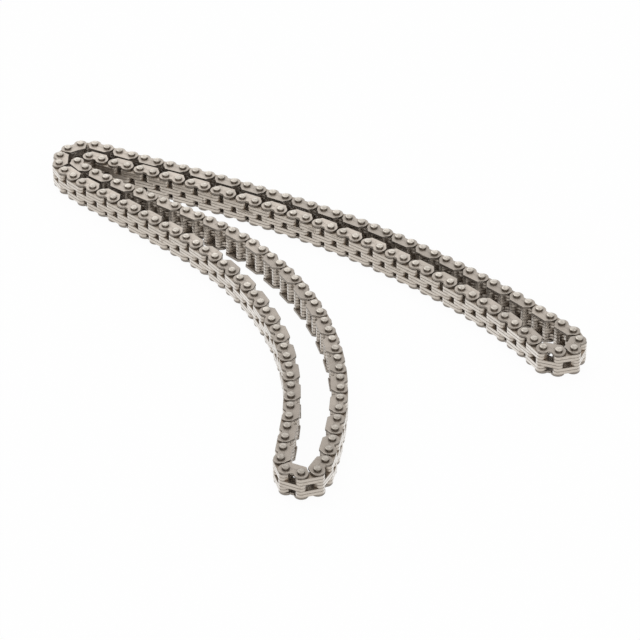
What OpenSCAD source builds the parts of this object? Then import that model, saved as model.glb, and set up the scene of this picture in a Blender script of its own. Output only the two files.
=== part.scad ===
// Silent timing chain: an endless loop of toothed link plates on riveted pins, held between guide
// plates, laid on its side and folded into two arms. All sizes are in millimetres.
// X points right, Y points away from the viewer and Z up. The chain stands on its pin heads at z = 0,
// with the origin under the middle of the loop.

/* [Pins] */
// Distance from one pin to the next
pitch = 6.35; // [6.2:0.05:7.2]
// Radius of a pin's shank
pin_r = 1.25; // [0.9:0.05:1.4]
// Radial running clearance of a toothed plate on its pin
bore_gap = 0.04; // [0.02:0.01:0.1]
// Radius of a riveted pin head
head_r = 1.5; // [1.45:0.05:2]
// Height of a pin head above its guide plate
head_h = 1.1; // [0.6:0.05:1.4]
// Height of the domed crown of a pin head
crown_h = 0.2; // [0.1:0.05:0.5]
// Radius of the flat on top of the crown
crown_flat_r = 1.05; // [0.6:0.05:1.3]

/* [Plate stack] */
// Thickness of a toothed link plate
link_t = 1.4; // [0.8:0.05:1.7]
// Thickness of a guide plate
guide_t = 1.1; // [0.8:0.05:1.6]
// Oil gap between two plates of the stack
plate_gap = 0.05; // [0.03:0.01:0.1]

/* [Toothed link plates] */
// Height of the flat back above the pin line
link_back = 3; // [2.2:0.05:3.05]
// Reach of a plate past its pin
link_reach = 2.45; // [2:0.05:2.5]
// Radius of the two back corners
link_round = 1.9; // [0.5:0.05:2]
// Depth of a tooth below the pin line
tooth_depth = 3.4; // [3:0.05:3.6]
// Width of the land at the tip of a tooth
tooth_land = 1.4; // [1:0.05:1.6]
// How far the land reaches past the pin
tooth_lead = 0.6; // [0.2:0.05:0.7]
// Lean of a tooth's outer flank
flank_angle = 30; // [26:1:34]
// Lean of a tooth's inner flank
crotch_angle = 25; // [15:1:30]
// Depth of the crotch between the teeth below the pin line
crotch_depth = 0.9; // [0.5:0.05:1.4]
// Radius of the round foot of the crotch
crotch_r = 1.5; // [1.2:0.05:1.8]

/* [Guide plates] */
// Gap between the round ends of two guide plates
guide_gap = 0.6; // [0.4:0.05:1.5]
// Height of the waist between the two lobes above the pin line
guide_waist = 1.5; // [1:0.05:2]
// Depth of the straight inner edge below the pin line
guide_depth = 3.8; // [3.3:0.05:3.9]
// How far the inner edge reaches past the pin
guide_lead = 0.5; // [0:0.05:0.6]

/* [Hidden] */
$fn = 48;
// How far the slanted sides of a guide plate run into its lobes
side_sink = 0.1;

// A swing pair is a stretch of links with a twin on the opposite strand. Both twins have the same
// headings, so turning them together shifts what they carry without turning it.
// A stretch is [number of links, heading of its first link, heading of its last link].
upper_pair_1 = [8, -25, -28.5];
upper_pair_2 = [8, -31.5, -39.5];
upper_pair_3 = [5, -42, -47];
lower_pair_1 = [8, -53, -69.5];
lower_pair_2 = [8, -77, -94];

function returning(stretch) = [stretch[0], stretch[2] - 180, stretch[1] - 180];

// The runs of links that move as one, in order round the loop: a name and the run's stretches.
// A fourth number marks the two stretches whose headings are trimmed to close the loop.
RUNS = [
    ["outer_bend", [[4, -230.5, -224.5], [8, -222.5, -221, 1], [1, -221.5], [1, -227], [1, -229], [1, -243],
        [1, -269], [1, -298], [1, -327], [1, -363], [1, -387], [5, -388, -384]]],
    ["upper_back_1", [upper_pair_1]],
    ["upper_back_2", [[4, -28.5, -31]]],
    ["upper_back_3", [upper_pair_2]],
    ["upper_back_4", [[4, -41, -42]]],
    ["upper_back_5", [upper_pair_3]],
    ["right_tip", [[4, -49, -48], [1, -72], [1, -113], [1, -166], [1, -199], [7, -239, -228]]],
    ["upper_front_5", [returning(upper_pair_3)]],
    ["upper_front_4", [[2, -220.5, -219.5]]],
    ["upper_front_3", [returning(upper_pair_2)]],
    ["upper_front_2", [[4, -210.5, -209]]],
    ["upper_front_1", [returning(upper_pair_1)]],
    ["inner_bend", [[4, -204.5, -205.5], [1, -140], [1, -53], [5, -41.5, -34.5], [6, -34.5, -36.5],
        [5, -37.5, -51]]],
    ["lower_inner_1", [lower_pair_1]],
    ["lower_inner_2", [[2, -73, -75]]],
    ["lower_inner_3", [lower_pair_2]],
    ["front_tip", [[5, -95.5, -102, 2], [1, -117], [1, -164], [1, -204.5], [1, -252.5], [4, -276.5, -276]]],
    ["lower_outer_3", [returning(lower_pair_2)]],
    ["lower_outer_2", [[2, -254, -251]]],
    ["lower_outer_1", [returning(lower_pair_1)]]
];

KINDS = ["guide_plates", "link_plates", "pins"];

// Headings of all links in order, for a pair of trims
function headings(trims) = [
    for (run = RUNS)
        for (s = run[1])
            for (k = [0:s[0] - 1])
                s[1] + (s[0] > 1 ? (s[2] - s[1]) * k / (s[0] - 1) : 0) + (len(s) > 3 ? trims[s[3] - 1] : 0)
];

// Sum of a list of vectors
function total(vectors) = [for (v = vectors) 1] * vectors;

// What is left open when the links are laid one after another, in pitches
function opening(trims) = total([for (a = headings(trims)) [cos(a), sin(a)]]);

// Newton's method on the two trims that close the loop
function closed(trims, rounds) =
    rounds == 0 ? trims :
    let(
        step = 0.001,
        e = opening(trims),
        a = (opening(trims + [step, 0]) - e) / step,
        b = (opening(trims + [0, step]) - e) / step,
        det = a.x * b.y - b.x * a.y
    )
    closed(trims - [e.x * b.y - e.y * b.x, a.x * e.y - a.y * e.x] / det, rounds - 1);

heading = headings(closed([0, 0], 6));
links = len(heading);

// The pins' places before the loop is moved over the origin
laid = [
    for (k = 0, at = [0, 0]; k < links; at = at + pitch * [cos(heading[k]), sin(heading[k])], k = k + 1) at
];

// First link of each run
first = [
    for (k = 0, n = 0; k < len(RUNS); n = n + total([for (s = RUNS[k][1]) [s[0]]])[0], k = k + 1) n
];

// Heights of the stack above the floor
bore_r = pin_r + bore_gap;
bottom_guide_z = head_h;
first_link_z = bottom_guide_z + guide_t + plate_gap;
layer_h = link_t + plate_gap;
top_guide_z = first_link_z + 6 * layer_h;
pin_top_z = top_guide_z + guide_t;
guide_levels = [bottom_guide_z, top_guide_z];
inner_levels = [for (k = [2, 3]) first_link_z + k * layer_h];
outer_levels = [for (k = [0, 1, 4, 5]) first_link_z + k * layer_h];

// Outlines of the plates. The first pin is at the origin, the second on +X, and the teeth point to -Y.

// The outline of a plate from its half about the second pin, mirrored about the plate's middle
function both_halves(half) = concat(
    [for (q = half) [pitch + q.x, q.y]],
    [for (k = [len(half) - 1:-1:0]) [-half[k].x, half[k].y]]
);

// Half of a toothed plate, from its crotch round the tooth and up to the rounded back corner
crotch_y = -crotch_depth - crotch_r;
flank_in = tooth_lead - tooth_land;
shoulder_y = (link_reach - tooth_lead) / tan(flank_angle) - tooth_depth;
link_half = concat(
    [
        [-pitch / 2, crotch_y],
        [flank_in - (tooth_depth + crotch_y) * tan(crotch_angle), crotch_y],
        [flank_in, -tooth_depth],
        [tooth_lead, -tooth_depth],
        [link_reach, shoulder_y]
    ],
    [
        for (a = [0:22.5:90])
            [link_reach - link_round * (1 - cos(a)), link_back - link_round * (1 - sin(a))]
    ]
);
link_outline = both_halves(link_half);

// Half of a guide plate's core, which joins its two lobes. Its slanted side runs into the lobe, and
// the lobes of neighbouring guide plates keep guide_gap between them.
lobe_r = (pitch - guide_gap) / 2;
guide_corner = [guide_lead, -guide_depth];
lobe_a = atan2(guide_corner.y, guide_corner.x) + acos(lobe_r / norm(guide_corner));
guide_outline = both_halves([
    guide_corner,
    (lobe_r - side_sink) * [cos(lobe_a), sin(lobe_a)],
    [0, guide_waist]
]);

// The loop is moved so that the origin lies under the middle of its bounding box. Lobes of guide plates
// and backs of toothed plates reach furthest out.
function turned(q, a) = [q.x * cos(a) - q.y * sin(a), q.x * sin(a) + q.y * cos(a)];
outer_points = concat(
    [for (q = laid) for (side = [-1, 1]) q + side * [lobe_r, lobe_r]],
    [for (k = [0:links - 1]) for (q = link_outline) laid[k] + turned(q, heading[k])]
);
low = [for (axis = [0, 1]) min([for (q = outer_points) q[axis]])];
high = [for (axis = [0, 1]) max([for (q = outer_points) q[axis]])];
pin_at = [for (q = laid) q - (low + high) / 2];

// Places its children with the first pin of link k at the origin and the second on +X
module on_link(k) {
    translate(pin_at[k]) rotate(heading[k]) children();
}

// Places its children at both pins of a plate
module at_pins() {
    for (x = [0, pitch])
        translate([x, 0]) children();
}

module guide_plate() {
    linear_extrude(guide_t)
        difference() {
            union() {
                polygon(guide_outline);
                at_pins() circle(lobe_r);
            }
            at_pins() circle(pin_r);
        }
}

module link_plate() {
    linear_extrude(link_t)
        difference() {
            polygon(link_outline);
            translate([pitch / 2, crotch_y]) circle(crotch_r);
            at_pins() circle(bore_r);
        }
}

// A rivet head that stands on its crown, a slice of a sphere with a flat at z = 0
module pin_head() {
    centre_z = (pow(head_r, 2) - pow(crown_flat_r, 2) + pow(crown_h, 2)) / (2 * crown_h);
    intersection() {
        cylinder(r = head_r, h = head_h);
        translate([0, 0, centre_z]) sphere(norm([crown_flat_r, centre_z]));
    }
}

// A shank between two heads
module pin() {
    pin_head();
    translate([0, 0, head_h]) cylinder(r = pin_r, h = pin_top_z - head_h);
    translate([0, 0, pin_top_z + head_h]) mirror([0, 0, 1]) pin_head();
}

// Even links carry the guide plates and hold the pins. Odd links turn on those pins.

module guide_plates(run) {
    color("#b3aca2")
        for (k = links_of(run))
            if (k % 2 == 0)
                for (z = guide_levels)
                    translate([0, 0, z]) on_link(k) guide_plate();
}

module link_plates(run) {
    color("#a49d93")
        for (k = links_of(run))
            for (z = k % 2 == 0 ? inner_levels : outer_levels)
                translate([0, 0, z]) on_link(k) link_plate();
}

module pins(run) {
    color("#bfb9b0")
        for (k = links_of(run))
            if (k % 2 == 0)
                for (x = [0, pitch])
                    on_link(k) translate([x, 0, 0]) pin();
}

function links_of(run) = [first[run]:(run + 1 < len(RUNS) ? first[run + 1] : links) - 1];

for (run = [0:len(RUNS) - 1]) {
    guide_plates(run);
    link_plates(run);
    pins(run);
}
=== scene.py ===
import math

import bpy
import numpy as np
from mathutils import Euler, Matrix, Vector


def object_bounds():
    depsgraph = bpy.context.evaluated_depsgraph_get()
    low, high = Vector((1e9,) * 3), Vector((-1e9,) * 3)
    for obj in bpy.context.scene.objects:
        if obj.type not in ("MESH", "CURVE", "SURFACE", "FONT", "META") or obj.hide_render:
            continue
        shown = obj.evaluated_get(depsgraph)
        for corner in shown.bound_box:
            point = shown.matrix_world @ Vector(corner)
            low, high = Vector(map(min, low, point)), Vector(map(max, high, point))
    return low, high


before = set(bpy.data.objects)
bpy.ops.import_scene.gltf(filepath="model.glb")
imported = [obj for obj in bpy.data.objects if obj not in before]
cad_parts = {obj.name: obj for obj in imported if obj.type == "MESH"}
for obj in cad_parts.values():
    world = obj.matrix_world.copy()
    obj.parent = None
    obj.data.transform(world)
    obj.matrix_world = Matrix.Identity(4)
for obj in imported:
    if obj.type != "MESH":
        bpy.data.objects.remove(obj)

# Looks of the timing chain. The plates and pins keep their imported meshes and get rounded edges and
# satin steels. The floor, lamps and camera are those of a plain white studio. Lengths are in metres.

CAD_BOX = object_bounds()
SEED = 11

# The camera as solved from the pins seen in the photo, its angles in degrees
CAMERA_AT = (0.012606, -0.860268, 0.63227)
CAMERA_DOWN = 36.3756
CAMERA_LEFT = 0.4593
CAMERA_ROLL = -0.5185
FOCAL_PIXELS = 2600.0
FRAME_PIXELS = 640.0
SENSOR_MM = 36.0
NEAREST_SEEN = 0.01
FURTHEST_SEEN = 20

# The studio: place, width and watts of each lamp, which faces the origin, and the floor's half width
LAMPS = {"key": ((-0.7, 0.5, 1.2), 1.4, 7), "fill": ((0.8, -0.6, 1.0), 0.9, 4)}
FLOOR_HALF = 3.0
FLOOR_PAINT = (0.9, 0.9, 0.895, 1)
WHITE = (1, 1, 1, 1)
# Share of plain white in the floor that the camera sees, where the rest takes the chain's shadow
FLOOR_WHITE_SHARE = 0.96
# Strength of the room where it only lights, against 1 where it is seen
ROOM_LIGHT = 0.6

# Edge rounding of each kind of piece: radius, and rings of faces
EDGES = {"guide_plates": (0.00018, 2), "link_plates": (0.00012, 1), "pins": (0.00012, 2)}
WELD_DISTANCE = 0.000002
SHARP_DEGREES = 35
EDGE_SLOT = 1

# Heights in the stack: its middle, the lowest seam between two plates, and from one seam to the next
STACK_MIDDLE = CAD_BOX[1].z / 2
SEAM_AT = 0.002225
LAYER = 0.00145
# How far off a seam its grime is full, and how far off it has gone
SEAM_FADE = (0.00005, 0.00035)
# How far below its crown's top the painted shade on a pin head's walls is full, and where it has
# gone
HEAD_WALL_SHADE_FADE = (0.00042, 0.00022)
HEAD_RADIUS = 0.0015

# How far open space is looked for, for the painted shade: in a gap between strands or plates, and
# round a pin head
GAP_REACH = 0.011
CORNER_REACH = 0.0018
OPEN_SPACE_RAYS = 6
# How deep in a gap metal starts to look dull with dirt, and where none of it shows
DULL_FROM = 0.45
DULL_AT = 0.9

# Painted light and shade: the mean tone of the plates of some strands, from 0 (dark) to 1 (light),
# set lighter or darker by how light falls on each strand. The first of these names that is in a
# node's name counts. Then the tone of the rest and of all pins, and the spread about each.
PAINTED_STRAND_LIGHT = {
    "upper_back_1": 0.4, "upper_back_2": 0.3, "upper_back": 0.12,
    "upper_front_5": 0.65, "upper_front_4": 0.8, "upper_front_3": 0.95, "upper_front_2": 0.95,
    "upper_front": 0.75, "inner_bend": 0.5, "lower_inner": 0.3,
    "lower_outer_1": 0.32, "lower_outer": 0.22, "front_tip": 0.38, "right_tip": 0.55,
}
OTHER_TONE_LEVEL = 0.6
TONE_SPREAD = 0.55

# Colour of the painted shade on plates and crowns towards the near end of the chain, and on crowns
# before their axes, and its share on plates at the near end of the chain
PAINTED_SHADE = (0.14, 0.12, 0.10)
NEAR_END_SHADE_SHARE = 0.5

# Where most of a noise's values lie, and the sockets of a Mix node of colours
NOISE_SPAN = (0.3, 0.7)
MIX_INPUTS = (6, 7)
MIX_OUTPUT = 2


def plate_numbers(mesh):
    """Number of the separate plate or pin that each vertex belongs to.

    Vertices at one place count as one. Every triangle hands the smallest number of its corners to
    all three, again and again, until nothing changes and each closed piece has a single number.
    """
    places = np.empty(len(mesh.vertices) * 3, np.float32)
    mesh.vertices.foreach_get("co", places)
    corners = np.empty(len(mesh.loops), np.int32)
    mesh.loops.foreach_get("vertex_index", corners)
    rounded = np.round(places.reshape(-1, 3) / WELD_DISTANCE).astype(np.int64)
    merged = np.unique(rounded, axis=0, return_inverse=True)[1].ravel()
    triangles = merged[corners].reshape(-1, 3)
    number = np.arange(merged.max() + 1)
    while True:
        least = number[triangles].min(axis=1)
        before = number.copy()
        for corner in range(3):
            np.minimum.at(number, triangles[:, corner], least)
        if np.array_equal(number, before):
            break
    return np.unique(number[merged], return_inverse=True)[1].ravel()


def give_attribute(mesh, name, values):
    """Stores a number for every vertex."""
    attribute = mesh.attributes.new(name, "FLOAT", "POINT")
    attribute.data.foreach_set("value", values.astype(np.float32))


def give_tones(mesh, numbers, rng, level):
    """Stores a random tone about level, from 0 to 1, for every plate or pin."""
    spread = TONE_SPREAD * (rng.random(numbers.max() + 1) - 0.5)
    give_attribute(mesh, "tone", np.clip(level + spread, 0, 1)[numbers])


def give_sides(mesh, numbers):
    """Stores how far a vertex lies behind (above 0) or before its pin's axis, in head radii."""
    places = np.empty(len(mesh.vertices) * 3, np.float32)
    mesh.vertices.foreach_get("co", places)
    depth = places[1::3]
    axes = np.bincount(numbers, depth) / np.bincount(numbers)
    give_attribute(mesh, "side", (depth - axes[numbers]) / HEAD_RADIUS)


class Nodes:
    """The node tree of a material or world, with short calls that add a node and link its inputs."""

    def __init__(self, owner):
        self.owner = owner
        owner.use_nodes = True
        self.tree = owner.node_tree
        self.tree.nodes.clear()

    def set_input(self, socket, source):
        """Links a socket's source, or sets its value."""
        if isinstance(source, bpy.types.NodeSocket):
            self.tree.links.new(source, socket)
        else:
            socket.default_value = source

    def add(self, kind, inputs=(), **settings):
        node = self.tree.nodes.new(kind)
        for key, value in settings.items():
            setattr(node, key, value)
        for socket, source in dict(inputs).items():
            self.set_input(node.inputs[socket], source)
        return node

    def place(self, stretch=(1, 1, 1)):
        """Object coordinates, stretched along the axes."""
        where = self.add("ShaderNodeTexCoord").outputs["Object"]
        return self.add("ShaderNodeMapping", {"Vector": where, "Scale": stretch}).outputs["Vector"]

    def noise(self, per_metre, detail=3.0, rough=0.5, stretch=(1, 1, 1)):
        """Soft noise from 0 to 1 with that many features to the metre."""
        inputs = {"Vector": self.place(stretch), "Scale": per_metre, "Detail": detail,
                  "Roughness": rough}
        return self.add("ShaderNodeTexNoise", inputs).outputs["Fac"]

    def between(self, value, low, high, to_low=0.0, to_high=1.0):
        """value rescaled from low..high to to_low..to_high, and held inside them."""
        inputs = {"Value": value, "From Min": low, "From Max": high,
                  "To Min": to_low, "To Max": to_high}
        return self.add("ShaderNodeMapRange", inputs, clamp=True).outputs["Result"]

    def maths(self, operation, a, b):
        return self.add("ShaderNodeMath", {0: a, 1: b}, operation=operation).outputs[0]

    def size_of(self, value):
        """value without its sign."""
        return self.maths("ABSOLUTE", value, 0.0)

    def mix(self, share, a, b):
        """Colour a where share is 0, and b where it is 1."""
        node = self.add("ShaderNodeMix", {0: share}, data_type="RGBA")
        for socket, colour in zip(MIX_INPUTS, (a, b)):
            if isinstance(colour, tuple):
                colour = (*colour, 1.0)
            self.set_input(node.inputs[socket], colour)
        return node.outputs[MIX_OUTPUT]

    def attribute(self, name):
        return self.add("ShaderNodeAttribute", attribute_name=name).outputs["Fac"]

    def hidden(self, reach, low, high):
        """1 in a corner or gap that little light gets into, falling to 0 in the open.

        reach is how far the open space is looked for, and low and high are the shares of open space
        at which the corner is fully and no longer hidden.
        """
        node = self.add("ShaderNodeAmbientOcclusion", {"Distance": reach}, samples=OPEN_SPACE_RAYS)
        return self.between(node.outputs["AO"], low, high, 1.0, 0.0)

    def along(self, vector, axis):
        """A vector's part along one axis."""
        return self.add("ShaderNodeSeparateXYZ", {0: vector}).outputs[axis]

    def facing(self, axis, low, high):
        """1 on a surface that faces along an axis, either way, and 0 on one that doesn't."""
        normal = self.add("ShaderNodeTexCoord").outputs["Normal"]
        return self.between(self.size_of(self.along(normal, axis)), low, high)

    def height(self):
        return self.along(self.place(), "Z")

    def seams(self):
        """1 at a seam between two layers of plates, falling to 0 a little above and below it."""
        off = self.maths("PINGPONG", self.maths("SUBTRACT", self.height(), SEAM_AT), LAYER / 2)
        return self.between(off, *SEAM_FADE, 1.0, 0.0)

    def near(self):
        """1 at the near end of the chain, falling to 0 at its far end."""
        return self.between(self.along(self.place(), "Y"), CAD_BOX[0].y, CAD_BOX[1].y, 1.0, 0.0)

    def bump(self, height, strength, distance, below=None):
        """Normal of a surface roughened by height, on top of the bump below it."""
        inputs = {"Height": height, "Strength": strength, "Distance": distance}
        if below:
            inputs["Normal"] = below
        return self.add("ShaderNodeBump", inputs).outputs[0]

    def finish(self, shader, output="ShaderNodeOutputMaterial"):
        self.add(output, {"Surface": shader.outputs[0]})
        return self.owner

    def finish_steel(self, colour, roughness, deep, normal=None):
        """Ends a material as steel that is dull with dirt where it lies deep in a gap."""
        inputs = {"Base Color": colour, "Roughness": roughness,
                  "Metallic": self.between(deep, DULL_FROM, DULL_AT, 1.0, 0.0)}
        if normal:
            inputs["Normal"] = normal
        return self.finish(self.add("ShaderNodeBsdfPrincipled", inputs))


def satin_steel(name, light, dark, wall, side, stain, grime_and_shade, gloss, streaks):
    """Satin steel: a plate's own tone, drifting colour, brown oil stains, fine grain and streaks.

    light and dark are the ends of its colour, wall that of its sheared walls, side that of the walls
    that face sideways, painted lighter as a painted reflection, stain that of the stains,
    grime_and_shade that of the dirt at seams and of the painted shade deep in gaps and round the
    heads, gloss the lowest and highest roughness, and streaks the depth of the upright shear marks.
    The plates are painted darker towards the near end, as painted shade, and a strand's mean tone
    is painted light or shade.
    """
    n = Nodes(bpy.data.materials.new(name))
    tone = n.attribute("tone")
    drift = n.between(n.noise(110, 4.0), *NOISE_SPAN, 0.0, 0.25)
    colour = n.mix(n.maths("ADD", n.maths("MULTIPLY", tone, 0.75), drift), dark, light)
    # Painted shade: the plates grow darker towards the near end of the chain.
    colour = n.mix(n.maths("MULTIPLY", n.near(), NEAR_END_SHADE_SHARE), colour, PAINTED_SHADE)

    sideways = n.facing("X", 0.65, 0.95)
    upright = n.maths("SUBTRACT", 1.0, n.facing("Z", 0.25, 0.75))
    wall_share = n.maths("MULTIPLY", upright, n.between(tone, 0.0, 1.0, 0.75, 1.0))
    # Painted reflection: walls that face sideways, along X, are painted lighter than the other
    # walls.
    colour = n.mix(wall_share, colour, n.mix(sideways, wall, side))

    stains = n.between(n.noise(420, 5.0, 0.6), 0.56, 0.72, 0.0, 0.55)
    colour = n.mix(stains, colour, stain)

    seam_strength = n.between(sideways, 0.0, 1.0, 0.45, 0.15)
    seams = n.maths("MULTIPLY", n.maths("MULTIPLY", upright, n.seams()), seam_strength)
    colour = n.mix(seams, colour, grime_and_shade)

    # Painted shade: darker deep in gaps between strands and plates, and in corners such as round the
    # pin heads, where little light gets in.
    deep = n.hidden(GAP_REACH, 0.12, 0.46)
    corners = n.maths("MULTIPLY", n.hidden(CORNER_REACH, 0.5, 0.95), 0.9)
    colour = n.mix(n.maths("MAXIMUM", deep, corners), colour, grime_and_shade)

    roughness = n.between(n.noise(700, 4.0), *NOISE_SPAN, *gloss)
    grain = n.bump(n.noise(2600, 4.0, 0.6), 0.35, 0.000012)
    shear = n.bump(n.noise(3000, 2.0, 0.5, stretch=(1, 1, 0.08)), 0.6, streaks, below=grain)
    return n.finish_steel(colour, roughness, deep, shear)


def worn_edge(name, colour, grime_and_shade, gloss):
    """Steel rubbed bright along an edge, a little uneven, with painted shade where it lies hidden.
    """
    n = Nodes(bpy.data.materials.new(name))
    less_rubbed = tuple(0.78 * c for c in colour)
    shade = n.mix(n.between(n.noise(900, 4.0), 0.35, 0.65), less_rubbed, colour)
    deep = n.hidden(GAP_REACH, 0.14, 0.5)
    roughness = n.between(n.noise(1500, 3.0), *NOISE_SPAN, *gloss)
    return n.finish_steel(n.mix(deep, shade, grime_and_shade), roughness, deep)


def pin_steel(name, light, dark, bright, wall, wall_reflection, grime_and_shade, gloss):
    """Pins: satin steel with painted shade on the walls of the formed heads.

    light and dark are the ends of its colour, bright that of the painted highlight on the crown
    behind the axis, wall that of the painted shade on the head walls, wall_reflection that of the
    painted reflection on the head walls that face front and back, grime_and_shade that of the
    painted shade deep in a gap, and gloss the lowest and highest roughness. The share of painted
    shade on the head
    walls comes from the height: it is full below the crowns, and fades out over them. Painted shade
    dulls the crowns before their axis, and all crowns towards the near end.
    """
    n = Nodes(bpy.data.materials.new(name))
    tone = n.attribute("tone")
    side = n.attribute("side")
    mottle = n.between(n.noise(1300, 4.0, 0.6), 0.38, 0.62, 0.0, 0.5)
    steel = n.mix(n.maths("ADD", n.maths("MULTIPLY", tone, 0.5), mottle), dark, light)
    # Painted shade on a crown before its axis, and a painted highlight behind it.
    steel = n.mix(n.between(side, -1.0, 0.1, 0.3, 0.0), steel, PAINTED_SHADE)
    steel = n.mix(n.between(side, -0.1, 1.0, 0.0, 0.4), steel, bright)
    # Painted shade on all crowns towards the near end of the chain.
    steel = n.mix(n.between(n.near(), 0.45, 1.0, 0.0, 0.52), steel, PAINTED_SHADE)

    off_middle = n.size_of(n.maths("SUBTRACT", n.height(), STACK_MIDDLE))
    below_crown = n.between(off_middle, *(STACK_MIDDLE - d for d in HEAD_WALL_SHADE_FADE), 1.0, 0.0)
    patches = n.between(n.noise(1200, 4.0), 0.25, 0.6, 0.75, 1.0)
    # Painted shade on the head walls below the crowns, with a painted reflection where they face
    # front and back.
    head_wall_shade = n.mix(n.facing("Y", 0.9, 0.99), wall, wall_reflection)
    colour = n.mix(n.maths("MULTIPLY", below_crown, patches), steel, head_wall_shade)

    # Painted shade deep in a gap, where little light gets in.
    deep = n.hidden(GAP_REACH, 0.08, 0.3)
    roughness = n.between(n.noise(1100, 4.0), *NOISE_SPAN, *gloss)
    grain = n.bump(n.noise(2800, 4.0, 0.6), 0.4, 0.000015)
    return n.finish_steel(n.mix(deep, colour, grime_and_shade), roughness, deep, grain)


def make_steels():
    """The materials of each kind of piece: its own, and that of its rounded edges."""
    # Painted light among these colours: the side colours are painted reflections on walls that face
    # sideways, the dirt colours of gaps are also painted shade, and on the pins the wall colour is
    # painted shade, the rubbed wall colour a painted reflection and the bright colour a painted
    # highlight.
    guide_plate = satin_steel(
        "guide_plate_steel", light=(0.70, 0.628, 0.555), dark=(0.43, 0.386, 0.341),
        wall=(0.26, 0.23, 0.20), side=(0.40, 0.365, 0.325), stain=(0.30, 0.25, 0.205),
        grime_and_shade=(0.17, 0.145, 0.12), gloss=(0.34, 0.48), streaks=0.00001)
    guide_edge = worn_edge(
        "guide_plate_edge", (0.40, 0.36, 0.315), grime_and_shade=(0.13, 0.11, 0.092), gloss=(0.34, 0.46))
    link_plate = satin_steel(
        "link_plate_steel", light=(0.66, 0.593, 0.515), dark=(0.43, 0.386, 0.335),
        wall=(0.60, 0.543, 0.478), side=(0.96, 0.925, 0.88), stain=(0.30, 0.24, 0.185),
        grime_and_shade=(0.25, 0.20, 0.155), gloss=(0.30, 0.44), streaks=0.00003)
    link_edge = worn_edge(
        "link_plate_edge", (0.44, 0.395, 0.345), grime_and_shade=(0.20, 0.16, 0.125), gloss=(0.30, 0.42))
    pin = pin_steel(
        "pin_steel", light=(0.80, 0.745, 0.67), dark=(0.34, 0.312, 0.272),
        bright=(0.95, 0.91, 0.86), wall=(0.135, 0.114, 0.094), wall_reflection=(0.34, 0.305, 0.265),
        grime_and_shade=(0.32, 0.255, 0.20), gloss=(0.42, 0.56))
    return {"guide_plates": (guide_plate, guide_edge), "link_plates": (link_plate, link_edge),
            "pins": (pin, pin)}


def dress(node_name, steels, rng):
    """Gives a node its tones, its steel, welded triangles and rounded edges."""
    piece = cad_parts[node_name]
    kind = next(k for k in EDGES if node_name.startswith(k))
    numbers = plate_numbers(piece.data)
    if kind == "pins":
        level = OTHER_TONE_LEVEL
        give_sides(piece.data, numbers)
    else:
        # Painted light and shade: a strand's mean tone is set lighter or darker by how light falls
        # on it.
        level = next((v for k, v in PAINTED_STRAND_LIGHT.items() if k in node_name), OTHER_TONE_LEVEL)
    give_tones(piece.data, numbers, rng, level)
    piece.data.materials.clear()
    for material in steels[kind]:
        piece.data.materials.append(material)
    weld = piece.modifiers.new("weld", "WELD")
    weld.merge_threshold = WELD_DISTANCE
    bevel = piece.modifiers.new("rounded_edges", "BEVEL")
    bevel.width, bevel.segments = EDGES[kind]
    bevel.limit_method = "ANGLE"
    bevel.angle_limit = math.radians(SHARP_DEGREES)
    bevel.material = EDGE_SLOT
    bevel.harden_normals = True
    bevel.use_clamp_overlap = True


def white_rays(nodes):
    """1 for camera rays, and 1 for the rays in which metal and glass show the room and floor."""
    rays = nodes.add("ShaderNodeLightPath").outputs
    shown = nodes.maths("MAXIMUM", rays["Is Glossy Ray"], rays["Is Transmission Ray"])
    return rays["Is Camera Ray"], shown


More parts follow.
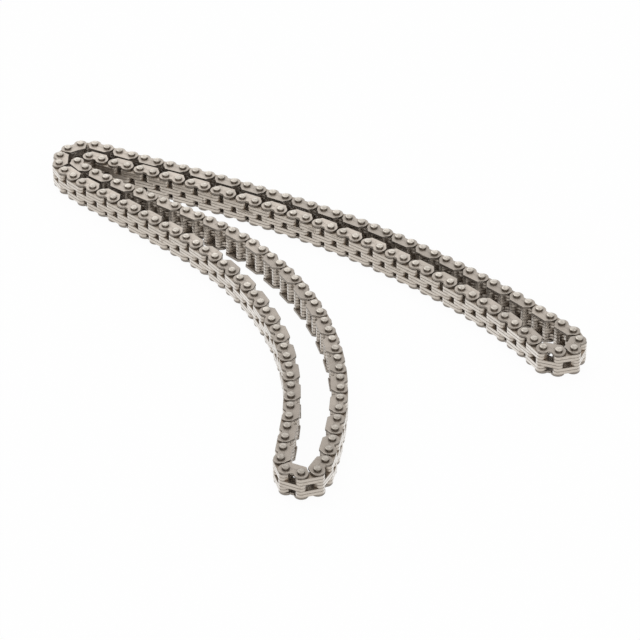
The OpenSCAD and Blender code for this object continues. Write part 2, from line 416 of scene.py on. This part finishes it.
def make_floor():
    """A square sheet at z = 0: nearly white to the camera, and white in what metal shows of it."""
    low, high = -FLOOR_HALF, FLOOR_HALF
    mesh = bpy.data.meshes.new("floor")
    corners = [(low, low, 0), (high, low, 0), (high, high, 0), (low, high, 0)]
    mesh.from_pydata(corners, [], [(0, 1, 2, 3)])
    floor = bpy.data.objects.new("floor", mesh)
    bpy.context.scene.collection.objects.link(floor)
    n = Nodes(bpy.data.materials.new("floor_white"))
    paint = n.add("ShaderNodeBsdfDiffuse", {"Color": FLOOR_PAINT})
    glow = n.add("ShaderNodeEmission", {"Color": WHITE, "Strength": 1.0})
    camera, shown = white_rays(n)
    share = n.maths("MAXIMUM", n.maths("MULTIPLY", camera, FLOOR_WHITE_SHARE), shown)
    mixed = n.add("ShaderNodeMixShader", {0: share, 1: paint.outputs[0], 2: glow.outputs[0]})
    mesh.materials.append(n.finish(mixed))


def make_room():
    """A white room: strength 1 where it is seen, and softer where it only lights."""
    n = Nodes(bpy.data.worlds.new("studio"))
    seen = n.maths("MAXIMUM", *white_rays(n))
    strength = n.between(seen, 0.0, 1.0, ROOM_LIGHT, 1.0)
    background = n.add("ShaderNodeBackground", {"Color": WHITE, "Strength": strength})
    bpy.context.scene.world = n.finish(background, "ShaderNodeOutputWorld")


def make_lamp(name, at, width, watts):
    """A square area lamp at a point, turned towards the origin."""
    data = bpy.data.lights.new(name, "AREA")
    data.shape = "SQUARE"
    data.size = width
    data.energy = watts
    lamp = bpy.data.objects.new(name, data)
    bpy.context.scene.collection.objects.link(lamp)
    lamp.location = at
    lamp.rotation_euler = (math.atan2(math.hypot(at[0], at[1]), at[2]), 0, math.atan2(at[0], -at[1]))


def make_camera():
    """The photo's camera. It looks along +Y, turned to the left, tipped down and rolled."""
    data = bpy.data.cameras.new("camera")
    data.sensor_width = SENSOR_MM
    data.lens = SENSOR_MM * FOCAL_PIXELS / FRAME_PIXELS
    data.clip_start = NEAREST_SEEN
    data.clip_end = FURTHEST_SEEN
    camera = bpy.data.objects.new("camera", data)
    bpy.context.scene.collection.objects.link(camera)
    camera.location = CAMERA_AT
    turn = Euler((math.radians(90 - CAMERA_DOWN), 0, math.radians(CAMERA_LEFT)), "XYZ").to_matrix()
    roll = Euler((0, 0, math.radians(CAMERA_ROLL)), "XYZ").to_matrix()
    camera.rotation_euler = (turn @ roll).to_euler("XYZ")
    bpy.context.scene.camera = camera


chain_steels = make_steels()
tone_rng = np.random.default_rng(SEED)
for chain_node in sorted(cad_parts):
    dress(chain_node, chain_steels, tone_rng)

make_floor()
make_room()
for lamp_name, lamp_values in LAMPS.items():
    make_lamp(lamp_name, *lamp_values)
make_camera()
bpy.context.scene.view_settings.view_transform = "Standard"
